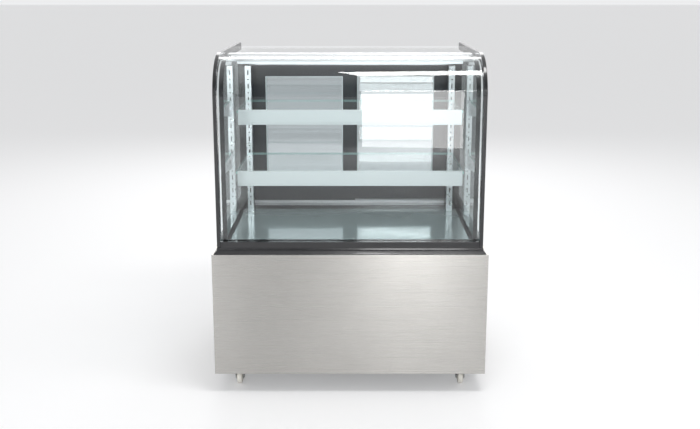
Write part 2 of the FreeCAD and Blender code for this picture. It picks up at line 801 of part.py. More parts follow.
def make_trim():
    """The black trim that flares from the case down to the wider base."""
    flared = add("Part::Wedge", "trim_block")
    flared.Placement = FreeCAD.Placement(FreeCAD.Vector(), FreeCAD.Rotation(FreeCAD.Vector(1, 0, 0), 90))
    limits = {
        "Xmin": "-(case_half + trim_flare)",
        "Xmax": "case_half + trim_flare",
        "X2min": "-case_half",
        "X2max": "case_half",
        "Ymin": "base_top",
        "Ymax": "case_floor",
        "Zmin": "-case_rear",
        "Zmax": "-(case_front - trim_flare)",
        "Z2min": "-case_rear",
        "Z2max": "-case_front",
    }
    for name, formula in limits.items():
        bind(flared, name, formula)
    well = span_box("trim_well", ("-pane_inner", "pane_inner"), ("well_front", "wall_rear"),
                    ("base_top - 1", "case_floor + 1"))
    keep("plinth_trim", cut("plinth_trim", flared, well))


# ------------------------------------------------------------------------ case

def make_case():
    """The end frames, the panes, the roof and the rails between them."""
    outer, outer_arcs = case_outline("0")
    inner, inner_arcs = case_outline("end_frame_band")
    ring = padded("ring_outer", "x", "pane_outer", "end_frame_thick", outer, outer_arcs)
    hole = padded("ring_inner", "x", "pane_outer - 1", "end_frame_thick + 2", inner, inner_arcs)
    both_sides("end_frame", cut("end_frame", ring, hole))
    make_side_glass()
    make_front_glass()
    make_front_rail()
    make_roof()


def make_side_glass():
    """A flat end pane, cut to the curve of the front glass."""
    points = [("glass_front", "case_floor"), ("wall_rear", "case_floor"), ("wall_rear", "glass_top"),
              ("bend_y", "glass_top"), ("glass_front", "bend_z")]
    arcs = {3: ("bend_y", "bend_z", "bend_radius", 1)}
    both_sides("side_glass", padded("side_glass", "x", "pane_inner", "pane", points, arcs))


def make_front_glass():
    """One pane that stands at the front and bends back into the roof."""
    foot = "case_floor + front_rail_height - groove_depth + seat_gap"
    inside = "glass_front + pane"
    back = "joint_front - seat_gap"
    points = [("glass_front", foot), (inside, foot), (inside, "bend_z"), ("bend_y", "roof_under"),
              (back, "roof_under"), (back, "glass_top"), ("bend_y", "glass_top"), ("glass_front", "bend_z")]
    arcs = {
        2: ("bend_y", "bend_z", "bend_radius - pane", -1),
        6: ("bend_y", "bend_z", "bend_radius", 1),
    }
    keep("front_glass", padded("front_glass", "x", "-glass_half", "2 * glass_half", points, arcs))


def make_front_rail():
    """The bottom rail, grooved for the front glass."""
    rail_top = "case_floor + front_rail_height"
    main = span_box("rail_main", ("-pane_inner", "pane_inner"), ("case_front", "well_front"),
                    ("case_floor", rail_top))
    nose = span_box("rail_nose", ("-pane_outer", "pane_outer"), ("case_front", "glass_front - seat_gap"),
                    ("case_floor", rail_top))
    groove = span_box("rail_groove", ("-pane_outer - 1", "pane_outer + 1"),
                      ("glass_front - seat_gap", "glass_front + pane + seat_gap"),
                      ("%s - groove_depth" % rail_top, "%s + 1" % rail_top))
    keep("front_bottom_rail", cut("front_bottom_rail", fuse("rail_blank", [main, nose]), groove))


def make_roof():
    """The joint rail with its lamp, and the roof panel behind it."""
    width = ("-glass_half", "glass_half")
    keep("top_joint_rail", span_box("top_joint_rail", width, ("joint_front", "joint_rear"),
                                    ("joint_under", "joint_top")))
    middle = "(joint_front + joint_rear) / 2"
    keep("top_light", span_box("top_light", ("-(glass_half - 30)", "glass_half - 30"),
                               ("%s - light_width / 2" % middle, "%s + light_width / 2" % middle),
                               ("joint_under - light_height", "joint_under")))
    keep("top_panel", span_box("top_panel", width, ("joint_rear", "wall_rear"), ("roof_under", "glass_top")))


# ------------------------------------------------------------------- rear wall

def make_rear_wall():
    """Sill, jambs, header and the tracks for the two doors."""
    sill = span_box("rear_sill", ("-jamb_inner", "jamb_inner"), ("deck_rear", "wall_rear"),
                    ("slab_top", "case_floor"))
    jamb = span_box("jamb_right", ("jamb_inner", "pane_inner"), ("deck_rear", "wall_rear"),
                    ("slab_top", "roof_under"))
    keep("rear_jambs", group("rear_jambs", [mirrored("jamb_left", jamb), jamb]))
    header = span_box("rear_header", ("-jamb_inner", "jamb_inner"), ("header_front", "wall_rear"),
                      ("header_under", "roof_under"))
    keep("rear_sill_and_header", group("rear_sill_and_header", [sill, header]))
    tracks = [make_track("lower_track", "case_floor", "track_plate", "track_lower_rib_height", 1),
              make_track("upper_track", "header_under", "track_plate", "track_upper_rib_height", -1)]
    keep("door_tracks", group("door_tracks", tracks))


def make_track(label, seat, plate, rib_height, way):
    """A plate with three ribs that guide the two doors."""
    width = ("-jamb_inner", "jamb_inner")
    front = "left_door_y - track_clearance - track_rib"
    middle = "left_door_y + door_thick + (door_gap - track_rib) / 2"
    rear = "right_door_y + door_thick + track_clearance"
    if way > 0:
        plate_z = (seat, "%s + %s" % (seat, plate))
        rib_z = (plate_z[1], "%s + %s" % (plate_z[1], rib_height))
    else:
        plate_z = ("%s - %s" % (seat, plate), seat)
        rib_z = ("%s - %s" % (plate_z[0], rib_height), plate_z[0])
    parts = [span_box(label + "_plate", width, (front, "%s + track_rib" % rear), plate_z)]
    for name, low in (("front", front), ("middle", middle), ("rear", rear)):
        parts.append(span_box("%s_rib_%s" % (label, name), width, (low, "%s + track_rib" % low), rib_z))
    return fuse(label, parts)


def make_door(side, hand, front):
    """A framed, glazed door with a shallow pull and two glide shoes."""
    outer = "%d * door_outer" % hand
    inner = "%d * (door_outer - door_width)" % hand
    window_outer = "%d * (door_outer - stile_outer)" % hand
    window_inner = "%d * (door_outer - door_width + stile_inner)" % hand
    wide = (outer, inner) if hand < 0 else (inner, outer)
    window = (window_outer, window_inner) if hand < 0 else (window_inner, window_outer)
    rear = "%s + door_thick" % front
    window_z = ("door_bottom + door_bottom_rail", "door_top - door_top_rail")
    blank = span_box("%s_door_blank" % side, wide, (front, rear), ("door_bottom", "door_top"))
    hole = span_box("%s_door_hole" % side, window, ("%s - 1" % front, "%s + 1" % rear), window_z)
    keep("%s_door_frame" % side, cut("%s_door_frame" % side, blank, hole))
    pane_front = "%s + (door_thick - door_pane) / 2" % front
    keep("%s_door_glass" % side, span_box("%s_door_glass" % side, window,
                                          (pane_front, "%s + door_pane" % pane_front), window_z))
    fittings = [make_pull(side, "%d * (door_outer - stile_outer / 2)" % hand, rear)]
    shoe_y = "%s + (door_thick - shoe_width) / 2" % front
    for end, middle in (("outer", "%d * (door_outer - shoe_length)" % hand),
                        ("inner", "%d * (door_outer - door_width + shoe_length)" % hand)):
        fittings.append(box("%s_door_shoe_%s" % (side, end), "%s - shoe_length / 2" % middle, shoe_y,
                            "case_floor + track_plate + seat_gap", "shoe_length", "shoe_width",
                            "door_lift - seat_gap"))
    keep("%s_door_fittings" % side, group("%s_door_fittings" % side, fittings))


def make_pull(side, middle, face):
    """A shallow dished pull on the service side of a door."""
    z = "(door_bottom + door_top) / 2 - pull_height / 2"
    plate = box("%s_pull_plate" % side, "%s - pull_width / 2" % middle, face, z, "pull_width", "pull_depth",
                "pull_height")
    dish = box("%s_pull_dish" % side, "%s - pull_width / 2 + 4" % middle, "%s + 1" % face, "%s + 4" % z,
               "pull_width - 8", "pull_depth", "pull_height - 8")
    return cut("%s_door_pull" % side, plate, dish)


# --------------------------------------------------------------------- shelves

def make_shelves():
    """Slotted standards, brackets, two glass shelves and their front strips."""
    standard = make_standard()
    keep("shelf_standards", group("shelf_standards", [mirrored("standard_left", standard), standard]))
    brackets = []
    lights = []
    for level in ("upper", "lower"):
        under = "%s_under" % level
        front = "shelf_rear - %s_depth" % level
        bracket = make_bracket(level, under, front)
        brackets += [mirrored("bracket_%s_left" % level, bracket), bracket]
        keep("%s_shelf_glass" % level,
             span_box("%s_shelf_glass" % level, ("-shelf_half", "shelf_half"),
                      ("%s + strip_thick - strip_grip + seat_gap" % front, "shelf_rear"),
                      (under, "%s + shelf_glass" % under)))
        make_strip(level, under, front)
        lights.append(span_box("%s_shelf_light" % level, ("-(strip_half - 40)", "strip_half - 40"),
                               ("%s + strip_thick" % front, "%s + strip_thick + shelf_light_depth" % front),
                               ("%s - shelf_light_height" % under, under)))
    keep("shelf_brackets", group("shelf_brackets", brackets))
    keep("shelf_lights", group("shelf_lights", lights))


def make_standard():
    """A channel with hook slots and peg holes up its front face."""
    outer = ("standard_inner", "standard_inner + standard_width")
    inner = ("standard_inner + standard_wall", "standard_inner + standard_width - standard_wall")
    face = ("standard_front", "standard_front + standard_wall")
    channel = [(outer[0], face[0]), (outer[1], face[0]), (outer[1], "deck_rear"), (inner[1], "deck_rear"),
               (inner[1], face[1]), (inner[0], face[1]), (inner[0], "deck_rear"), (outer[0], "deck_rear")]
    body = padded("standard_channel", "z", "deck_top", "standard_height", channel)
    holes = []
    for number in range(int(value("slot_count"))):
        middle = "slot_base + %d * slot_pitch" % number
        holes.append(box("standard_slot_%d" % number, "standard_middle - slot_width / 2",
                         "standard_front - 1", "%s - slot_length / 2" % middle, "slot_width",
                         "standard_wall + 2", "slot_length"))
        if number:
            holes.append(cylinder("standard_peg_%d" % number, "y", "standard_middle", "standard_front - 1",
                                  "%s - slot_pitch / 2" % middle, "peg_hole / 2", "standard_wall + 2"))
    return cut("standard_right", body, holes)


def make_bracket(level, under, front):
    """A tapered plate that hooks into the standard."""
    tip = "%s + bracket_setback" % front
    hook_low = "%s - hook_drop - hook_height / 2" % under
    hook_rear = "standard_front + hook_length"
    points = [(tip, under), (tip, "%s - bracket_tip" % under),
              ("standard_front - seat_gap", "%s - bracket_height" % under),
              ("standard_front - seat_gap", hook_low), (hook_rear, hook_low),
              (hook_rear, "%s + hook_height" % hook_low),
              ("standard_front - seat_gap", "%s + hook_height" % hook_low),
              ("standard_front - seat_gap", under)]
    return padded("bracket_%s_right" % level, "x", "standard_middle - bracket_thick / 2", "bracket_thick",
                  points)


def make_strip(level, under, front):
    """The pale front strip that grips the shelf's front edge."""
    top = "%s + shelf_glass + strip_rise" % under
    rear = "%s + strip_thick" % front
    slot_front = "%s - strip_grip" % rear
    low = "%s - seat_gap" % under
    high = "%s + shelf_glass + seat_gap" % under
    points = [(front, "%s - strip_height" % top), (rear, "%s - strip_height" % top), (rear, low),
              (slot_front, low), (slot_front, high), (rear, high), (rear, top), (front, top)]
    keep("%s_shelf_strip" % level,
         padded("%s_shelf_strip" % level, "x", "-strip_half", "2 * strip_half", points))


# -------------------------------------------------------------------- controls

def make_controls():
    """The controller, the rocker switch and the cord gland on the rear apron."""
    low = "control_z - controller_height / 2"
    bezel = box("controller_bezel", "-controller_width / 2 - bezel_lap", "apron_face", "%s - bezel_lap" % low,
                "controller_width + 2 * bezel_lap", "bezel_depth", "controller_height + 2 * bezel_lap")
    case = box("controller_case", "-controller_width / 2 + seat_gap", "apron_face - control_depth",
               "%s + seat_gap" % low, "controller_width - 2 * seat_gap", "control_depth",
               "controller_height - 2 * seat_gap")
    keep("temperature_controller", fuse("temperature_controller", [bezel, case]))
    make_switch()
    flange = cylinder("gland_flange", "y", "gland_x", "apron_face", "control_z", "gland_radius",
                      "bezel_depth + 2")
    stem = cylinder("gland_stem", "y", "gland_x", "apron_face - gland_stem", "control_z",
                    "gland_radius - 2 - seat_gap", "gland_stem")
    hole = cylinder("gland_bore", "y", "gland_x", "apron_face - gland_stem - 1", "control_z", "gland_bore",
                    "gland_stem + gland_radius")
    keep("cord_gland", cut("cord_gland", fuse("gland_blank", [flange, stem]), hole))


def make_switch():
    """A switch housing with a pivot pin, and the rocker that turns on it."""
    left = "switch_x - switch_width / 2"
    low = "control_z - switch_height / 2"
    pin_y = "apron_face - rocker_inset"
    lap = "switch_wall"
    bezel = box("switch_bezel", "%s - %s" % (left, lap), "apron_face", "%s - %s" % (low, lap),
                "switch_width + 2 * %s" % lap, lap, "switch_height + 2 * %s" % lap)
    case = box("switch_case", "%s + seat_gap" % left, "apron_face - switch_depth", "%s + seat_gap" % low,
               "switch_width - 2 * seat_gap", "switch_depth", "switch_height - 2 * seat_gap")
    well = box("switch_well", "%s + switch_wall" % left, "apron_face - switch_depth + 2 * switch_wall",
               "%s + switch_wall" % low, "switch_width - 2 * switch_wall", "switch_depth",
               "switch_height - 2 * switch_wall")
    pin = cylinder("switch_pin", "x", "%s + switch_wall / 2" % left, pin_y, "control_z", "rocker_pin",
                   "switch_width - switch_wall")
    shell = cut("switch_shell", fuse("switch_blank", [bezel, case]), well)
    keep("switch_housing", fuse("switch_housing", [shell, pin]))
    make_rocker(left, pin_y)


def make_rocker(left, pin_y):
    """The rocker, stored with its upper half pressed in."""
    tilt = math.radians(8)
    half = "(switch_height / 2 - switch_wall - rocker_gap)"
    square = [("-rocker_inset", "-%s / 2" % half), ("rocker_inset + 1", "-" + half),
              ("rocker_inset + 3", "-" + half), ("rocker_inset + 1", "0"),
              ("rocker_inset + 3", half), ("rocker_inset + 1", half), ("-rocker_inset", "%s / 2" % half)]
    points = []
    for out, up in square:
        points.append(("%s + (%s) * %.6f - (%s) * %.6f" % (pin_y, out, math.cos(tilt), up, math.sin(tilt)),
                       "control_z + (%s) * %.6f + (%s) * %.6f" % (out, math.sin(tilt), up, math.cos(tilt))))
    blank = padded("rocker_blank", "x", "%s + switch_wall + seat_gap" % left,
                   "switch_width - 2 * switch_wall - 2 * seat_gap", points)
    bore = cylinder("rocker_bore", "x", left, pin_y, "control_z", "rocker_pin + running_fit", "switch_width")
    keep("power_rocker", cut("power_rocker", blank, bore))


def check_model():
    """Stop if any object failed, or any sub-part isn't a valid solid shape."""
    for item in document.Objects:
        bad = {"Invalid", "Error"} & set(item.State)
        if bad:
            raise RuntimeError("%s: %s" % (item.Label, item.State))
    for node, item in nodes:
        if item.Shape.isNull() or not item.Shape.isValid() or not item.Shape.Solids:
            raise RuntimeError("%s has no valid solid" % node)


def export():
    """Write each sub-part to a file of its own."""
    os.makedirs("parts", exist_ok=True)
    for node, item in nodes:
        item.Shape.exportStep("parts/%s.step" % node)


def main():
    fill_sheet()
    make_base()
    make_casters()
    make_machine()
    make_deck()
    make_case()
    make_rear_wall()
    make_door("left", -1, "left_door_y")
    make_door("right", 1, "right_door_y")
    make_shelves()
    make_controls()
    document.recompute()
    check_model()
    export()
    print("%d sub-parts" % len(nodes))


main()
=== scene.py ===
import json
import math

import bmesh
import bpy
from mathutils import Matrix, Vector


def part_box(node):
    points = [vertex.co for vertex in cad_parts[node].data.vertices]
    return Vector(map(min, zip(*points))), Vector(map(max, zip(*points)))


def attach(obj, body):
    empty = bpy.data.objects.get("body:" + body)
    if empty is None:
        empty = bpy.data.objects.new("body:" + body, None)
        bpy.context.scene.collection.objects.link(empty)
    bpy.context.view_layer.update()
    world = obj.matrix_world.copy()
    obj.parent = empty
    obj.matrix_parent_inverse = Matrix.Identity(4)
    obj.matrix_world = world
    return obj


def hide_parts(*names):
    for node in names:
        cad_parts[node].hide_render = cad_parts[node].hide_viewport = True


MM = 0.001

# Socket numbers of the Mix node, whose colour and plain sockets share names.
COLOR_A = 6
COLOR_B = 7
COLOR_OUT = 2
PLAIN_A = 2
PLAIN_B = 3

PANE = 6 * MM
BEND_RADIUS = 120 * MM
CASE_RADIUS = 135 * MM
FIT_GAP = 0.3 * MM
BEND_STEPS = 24
DOME_STEPS = 24
BACKDROP = 0.86

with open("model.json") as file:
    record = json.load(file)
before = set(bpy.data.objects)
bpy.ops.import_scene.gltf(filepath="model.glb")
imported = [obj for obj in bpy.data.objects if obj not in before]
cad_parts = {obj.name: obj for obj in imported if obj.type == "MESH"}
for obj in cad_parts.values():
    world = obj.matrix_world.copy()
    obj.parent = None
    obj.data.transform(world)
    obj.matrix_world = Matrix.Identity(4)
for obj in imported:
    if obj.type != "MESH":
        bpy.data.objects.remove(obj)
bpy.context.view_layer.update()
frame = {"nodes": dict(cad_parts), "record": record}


# ------------------------------------------------------------------ node tools

class Shader:
    """A material under construction: a Principled surface and its node tree."""

    def __init__(self, name, color, roughness=0.5, metallic=0.0):
        self.material = bpy.data.materials.new(name)
        self.material.use_nodes = True
        self.tree = self.material.node_tree
        self.tree.nodes.clear()
        self.output = self.add("ShaderNodeOutputMaterial")
        self.surface = self.add("ShaderNodeBsdfPrincipled")
        self.link(self.surface.outputs["BSDF"], self.output.inputs["Surface"])
        self.set("Base Color", (*color, 1.0))
        self.set("Roughness", roughness)
        self.set("Metallic", metallic)
        self.color = color

    def add(self, kind, **settings):
        node = self.tree.nodes.new(kind)
        for name, setting in settings.items():
            setattr(node, name, setting)
        return node

    def link(self, source, target):
        self.tree.links.new(source, target)

    def set(self, socket, setting):
        self.surface.inputs[socket].default_value = setting

    def place(self, stretch):
        """The part's own coordinates in metres, stretched along each axis."""
        where = self.add("ShaderNodeTexCoord")
        mapping = self.add("ShaderNodeMapping")
        mapping.inputs["Scale"].default_value = stretch
        self.link(where.outputs["Object"], mapping.inputs["Vector"])
        return mapping.outputs["Vector"]

    def noise(self, stretch, detail=3.0, rough=0.55):
        node = self.add("ShaderNodeTexNoise")
        node.inputs["Scale"].default_value = 1.0
        node.inputs["Detail"].default_value = detail
        node.inputs["Roughness"].default_value = rough
        self.link(self.place(stretch), node.inputs["Vector"])
        return node.outputs["Fac"]

    def cells(self, stretch):
        node = self.add("ShaderNodeTexVoronoi")
        node.inputs["Scale"].default_value = 1.0
        self.link(self.place(stretch), node.inputs["Vector"])
        return node.outputs["Distance"]

    def remap(self, source, low, high, start=0.3, stop=0.7):
        node = self.add("ShaderNodeMapRange")
        node.inputs["From Min"].default_value = start
        node.inputs["From Max"].default_value = stop
        node.inputs["To Min"].default_value = low
        node.inputs["To Max"].default_value = high
        self.link(source, node.inputs["Value"])
        return node.outputs["Result"]

    def vary_color(self, source, other):
        """Blend from the base colour to another one with a texture."""
        mix = self.add("ShaderNodeMix", data_type="RGBA")
        mix.inputs[COLOR_A].default_value = (*self.color, 1.0)
        mix.inputs[COLOR_B].default_value = (*other, 1.0)
        self.link(source, mix.inputs["Factor"])
        self.link(mix.outputs[COLOR_OUT], self.surface.inputs["Base Color"])

    def vary_roughness(self, source, low, high):
        self.link(self.remap(source, low, high), self.surface.inputs["Roughness"])

    def bump(self, source, strength, distance):
        node = self.add("ShaderNodeBump")
        node.inputs["Strength"].default_value = strength
        node.inputs["Distance"].default_value = distance
        self.link(source, node.inputs["Height"])
        self.link(node.outputs["Normal"], self.surface.inputs["Normal"])


def scaled(color, factor):
    return tuple(min(1.0, channel * factor) for channel in color)


# -------------------------------------------------------------------- materials

def brushed_steel(name, color, roughness, grain, spread=0.0):
    """Brushed steel: long fine lines, soft patches and a little colour drift."""
    shader = Shader(name, color, roughness, 1.0)
    lines = shader.noise(grain, 4.0, 0.7)
    patches = shader.noise((5.0, 5.0, 3.0), 2.0)
    shader.vary_color(shader.remap(patches, 0.0, 1.0), scaled(color, 0.93))
    shader.vary_roughness(lines, roughness - 0.06, roughness + 0.07)
    shader.bump(lines, 0.22, 0.00004)
    if spread:
        tangent = shader.add("ShaderNodeTangent", direction_type="UV_MAP", uv_map="grain")
        shader.link(tangent.outputs["Tangent"], shader.surface.inputs["Tangent"])
        shader.set("Anisotropic", spread)
    return shader.material


def zinc_sheet(name, color):
    """Galvanised sheet with faint spangles."""
    shader = Shader(name, color, 0.42, 0.9)
    spangles = shader.cells((70.0, 70.0, 70.0))
    shader.vary_color(shader.remap(spangles, 0.0, 1.0, 0.1, 0.8), scaled(color, 0.8))
    shader.vary_roughness(shader.noise((18.0, 18.0, 18.0)), 0.34, 0.5)
    return shader.material


def gloss_black(name, color):
    """Gloss powder coat with a trace of orange peel and dust."""
    shader = Shader(name, color, 0.2)
    shader.set("Coat Weight", 0.6)
    shader.set("Coat Roughness", 0.08)
    shader.vary_roughness(shader.noise((9.0, 9.0, 9.0)), 0.16, 0.27)
    shader.vary_color(shader.remap(shader.noise((30.0, 30.0, 30.0), 5.0), 0.0, 0.35), (0.03, 0.031, 0.034))
    shader.bump(shader.noise((420.0, 420.0, 420.0), 1.0), 0.06, 0.0002)
    return shader.material


def moulded(name, color, roughness=0.5, grain=900.0, depth=0.00008):
    """Moulded plastic or satin paint with a fine spark texture."""
    shader = Shader(name, color, roughness)
    shader.vary_roughness(shader.noise((14.0, 14.0, 14.0)), roughness - 0.05, roughness + 0.07)
    shader.vary_color(shader.remap(shader.noise((22.0, 22.0, 22.0), 4.0), 0.0, 0.5), scaled(color, 1.35))
    shader.bump(shader.noise((grain, grain, grain), 2.0), 0.18, depth)
    return shader.material


def plated(name, color, roughness=0.16):
    """Bright plating with faint handling marks."""
    shader = Shader(name, color, roughness, 1.0)
    shader.vary_roughness(shader.noise((40.0, 40.0, 40.0), 4.0), roughness - 0.05, roughness + 0.12)
    shader.vary_color(shader.remap(shader.noise((25.0, 25.0, 25.0)), 0.0, 0.6), scaled(color, 0.85))
    shader.bump(shader.noise((160.0, 160.0, 160.0), 2.0), 0.05, 0.0002)
    return shader.material


def anodised(name, color, roughness=0.34, metallic=0.9):
    """Extruded aluminium with die lines along its length."""
    shader = Shader(name, color, roughness, metallic)
    lines = shader.noise((1.5, 700.0, 700.0), 3.0)
    shader.vary_roughness(lines, roughness - 0.05, roughness + 0.08)
    shader.vary_color(shader.remap(lines, 0.0, 0.5), scaled(color, 0.9))
    shader.bump(lines, 0.1, 0.00005)
    return shader.material


def opal(name, color):
    """A softly glowing lamp cover."""
    shader = Shader(name, color, 0.35)
    shader.vary_roughness(shader.noise((60.0, 60.0, 60.0)), 0.3, 0.42)
    shader.set("Emission Color", (0.93, 0.98, 1.0, 1.0))
    shader.set("Emission Strength", 0.5)
    return shader.material


def deck_finish(name, color):
    """The display deck: a pale polished sheet that mirrors the case softly."""
    shader = Shader(name, color, 0.1, 0.45)
    shader.set("Coat Weight", 1.0)
    shader.set("Coat Roughness", 0.04)
    lines = shader.noise((2.0, 500.0, 500.0), 3.0)
    shader.vary_roughness(lines, 0.07, 0.16)
    shader.vary_color(shader.remap(shader.noise((6.0, 6.0, 6.0)), 0.0, 1.0), scaled(color, 0.93))
    return shader.material


def rubber(name, color):
    """Extruded rubber with a dull bloom."""
    shader = Shader(name, color, 0.6)
    shader.vary_color(shader.remap(shader.noise((35.0, 35.0, 35.0), 4.0), 0.0, 0.5), scaled(color, 2.0))
    shader.bump(shader.noise((600.0, 600.0, 600.0)), 0.15, 0.0001)
    return shader.material


def fins(name, color):
    """A heat exchanger's stacked fins, with painted shade in the gaps between them."""
    shader = Shader(name, color, 0.45, 0.9)
    wave = shader.add("ShaderNodeTexWave", wave_type="BANDS", bands_direction="X")
    wave.inputs["Scale"].default_value = 1.0
    shader.link(shader.place((120.0, 1.0, 1.0)), wave.inputs["Vector"])
    # The dark bands are painted shade in the gaps between the fins.
    shader.vary_color(wave.outputs["Fac"], scaled(color, 0.25))
    shader.bump(wave.outputs["Fac"], 0.6, 0.001)
    return shader.material


def pane_glass(name, tint, faces, ior=1.5, ripple=0.0):
    """Flat glass: mirror at a shallow angle and clear face on.

    faces is how many surfaces of real glass this pane stands for. Only the
    outward face of the solid mirrors, so light isn't reflected twice.
    """
    shader = Shader(name, (1.0, 1.0, 1.0), 0.012, 1.0)
    clear = shader.add("ShaderNodeBsdfTransparent")
    clear.inputs["Color"].default_value = (*tint, 1.0)
    if ripple:
        streaks = shader.remap(shader.noise((1.2, 1.2, 70.0), 3.0), 1.0 - ripple, 1.0)
        shade = shader.add("ShaderNodeMix", data_type="RGBA", blend_type="MULTIPLY")
        shade.inputs["Factor"].default_value = 1.0
        shade.inputs[COLOR_A].default_value = (*tint, 1.0)
        shader.link(streaks, shade.inputs[COLOR_B])
        shader.link(shade.outputs[COLOR_OUT], clear.inputs["Color"])
    fresnel = shader.add("ShaderNodeFresnel")
    fresnel.inputs["IOR"].default_value = ior
    top = shader.add("ShaderNodeMath", operation="MULTIPLY")
    top.inputs[1].default_value = faces
    under = shader.add("ShaderNodeMath", operation="MULTIPLY_ADD")
    under.inputs[1].default_value = faces - 1.0
    under.inputs[2].default_value = 1.0
    share = shader.add("ShaderNodeMath", operation="DIVIDE")
    sides = shader.add("ShaderNodeNewGeometry")
    outward = shader.add("ShaderNodeMath", operation="SUBTRACT")
    outward.inputs[0].default_value = 1.0
    factor = shader.add("ShaderNodeMath", operation="MULTIPLY")
    mix = shader.add("ShaderNodeMixShader")
    shader.link(fresnel.outputs["Fac"], top.inputs[0])
    shader.link(fresnel.outputs["Fac"], under.inputs[0])
    shader.link(top.outputs[0], share.inputs[0])
    shader.link(under.outputs[0], share.inputs[1])
    shader.link(sides.outputs["Backfacing"], outward.inputs[1])
    shader.link(share.outputs[0], factor.inputs[0])
    shader.link(outward.outputs[0], factor.inputs[1])
    shader.link(factor.outputs[0], mix.inputs["Fac"])
    shader.link(clear.outputs["BSDF"], mix.inputs[1])
    shader.link(shader.surface.outputs["BSDF"], mix.inputs[2])
    shader.link(mix.outputs["Shader"], shader.output.inputs["Surface"])
    return shader.material


def glass_edge(name, color):
    """The sawn and polished edge of thick glass, where its own green gathers."""
    shader = Shader(name, color, 0.12)
    shader.vary_color(shader.remap(shader.noise((8.0, 60.0, 300.0), 3.0), 0.0, 1.0), scaled(color, 1.5))
    shader.set("Coat Weight", 0.5)
    return shader.material


STEEL = (0.60, 0.585, 0.56)
GREEN_EDGE = (0.30, 0.50, 0.48)
FINISH = {
    "stainless": brushed_steel("stainless", STEEL, 0.3, (2.5, 2.5, 1400.0)),
    "galvanised_sheet": zinc_sheet("galvanised_sheet", (0.55, 0.56, 0.57)),
    "black_paint": gloss_black("black_paint", (0.012, 0.012, 0.014)),
    "door_frame_black": moulded("door_frame_black", (0.010, 0.013, 0.018), 0.36),
    "clear_glass": pane_glass("clear_glass", (0.955, 0.975, 0.975), 2.0),
    "end_glass": pane_glass("end_glass", (0.93, 0.955, 0.96), 4.0),
    "door_glass": pane_glass("door_glass", (0.80, 0.825, 0.84), 4.0, ripple=0.06),
    "shelf_glass": pane_glass("shelf_glass", (0.95, 0.98, 0.975), 2.0),
    "shelf_edge": glass_edge("shelf_edge", GREEN_EDGE),
    "pale_strip": anodised("pale_strip", (0.74, 0.79, 0.80), 0.42, 0.25),
    "zinc_plated": plated("zinc_plated", (0.74, 0.77, 0.79), 0.28),
    "aluminium_rail": anodised("aluminium_rail", (0.72, 0.73, 0.75)),
    "lamp_cover": opal("lamp_cover", (0.9, 0.93, 0.94)),
    "deck_steel": deck_finish("deck_steel", (0.56, 0.67, 0.68)),
    "foam_slab": moulded("foam_slab", (0.55, 0.57, 0.57), 0.55),
    "seal_rubber": rubber("seal_rubber", (0.012, 0.016, 0.018)),
    "caster_chrome": plated("caster_chrome", (0.72, 0.72, 0.71)),
    "caster_wheel": moulded("caster_wheel", (0.72, 0.70, 0.64), 0.4, 500.0),
    "compressor_black": gloss_black("compressor_black", (0.015, 0.015, 0.015)),
    "fin_aluminium": fins("fin_aluminium", (0.66, 0.67, 0.68)),
    "fan_plastic": moulded("fan_plastic", (0.045, 0.045, 0.05)),
    "motor_steel": zinc_sheet("motor_steel", (0.28, 0.29, 0.30)),
    "copper_pipe": plated("copper_pipe", (0.72, 0.38, 0.24), 0.3),
    "control_plastic": moulded("control_plastic", (0.025, 0.025, 0.027)),
    "rocker_plastic": moulded("rocker_plastic", (0.05, 0.05, 0.05), 0.3),
}
FRONT_STEEL = brushed_steel("front_steel", STEEL, 0.27, (2.5, 2.5, 1400.0), 0.85)
BEAD = moulded("glazing_bead", (0.70, 0.74, 0.76), 0.4)
DISPLAY = gloss_black("display_lens", (0.02, 0.004, 0.004))


def finish_cad_nodes():
    """Give every CAD node the procedural finish of its slot."""
    for part in frame["record"]["subparts"]:
        node = part["node"]
        finish = "end_glass" if node.startswith("side_glass") else part["material_slot"]
        item = frame["nodes"][node]
        if not item.material_slots:
            item.data.materials.append(FINISH[finish])
        for slot in item.material_slots:
            slot.link = "OBJECT"
            slot.material = FINISH[finish]


# ----------------------------------------------------------------- piece tools

def piece(name, mesh, materials, body="cabinet", replaces=()):
    """Make an object of a bmesh, dress it and hang it on its body."""
    data = bpy.data.meshes.new(name)
    bmesh.ops.recalc_face_normals(mesh, faces=mesh.faces)
    mesh.to_mesh(data)
    mesh.free()
    item = bpy.data.objects.new(name, data)
    bpy.context.scene.collection.objects.link(item)
    for material in materials:
        data.materials.append(material)
    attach(item, body)
    if replaces:
        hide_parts(*replaces)
    return item


def soften(item, width, segments=3):
    """Round the sharp edges and shade them smoothly."""
    bevel = item.modifiers.new("edges", "BEVEL")
    bevel.width = width
    bevel.segments = segments
    bevel.limit_method = "ANGLE"
    bevel.angle_limit = math.radians(35)
    bevel.harden_normals = True
    for face in item.data.polygons:
        face.use_smooth = True
    return item


def add_prism(mesh, outline, axis, low, high):
    """A closed outline, given in the two other axes, run along one axis."""
    def corner(at, pair):
        spots = {"x": (at, *pair), "y": (pair[0], at, pair[1]), "z": (*pair, at)}
        return mesh.verts.new(spots[axis])
    first = [corner(low, pair) for pair in outline]
    last = [corner(high, pair) for pair in outline]
    mesh.faces.new(first)
    mesh.faces.new(last)
    count = len(outline)
    for number in range(count):
        after = (number + 1) % count
        mesh.faces.new((first[number], first[after], last[after], last[number]))


def add_box(mesh, low, high):
    corners = [(low[1], low[2]), (high[1], low[2]), (high[1], high[2]), (low[1], high[2])]
    add_prism(mesh, corners, "x", low[0], high[0])


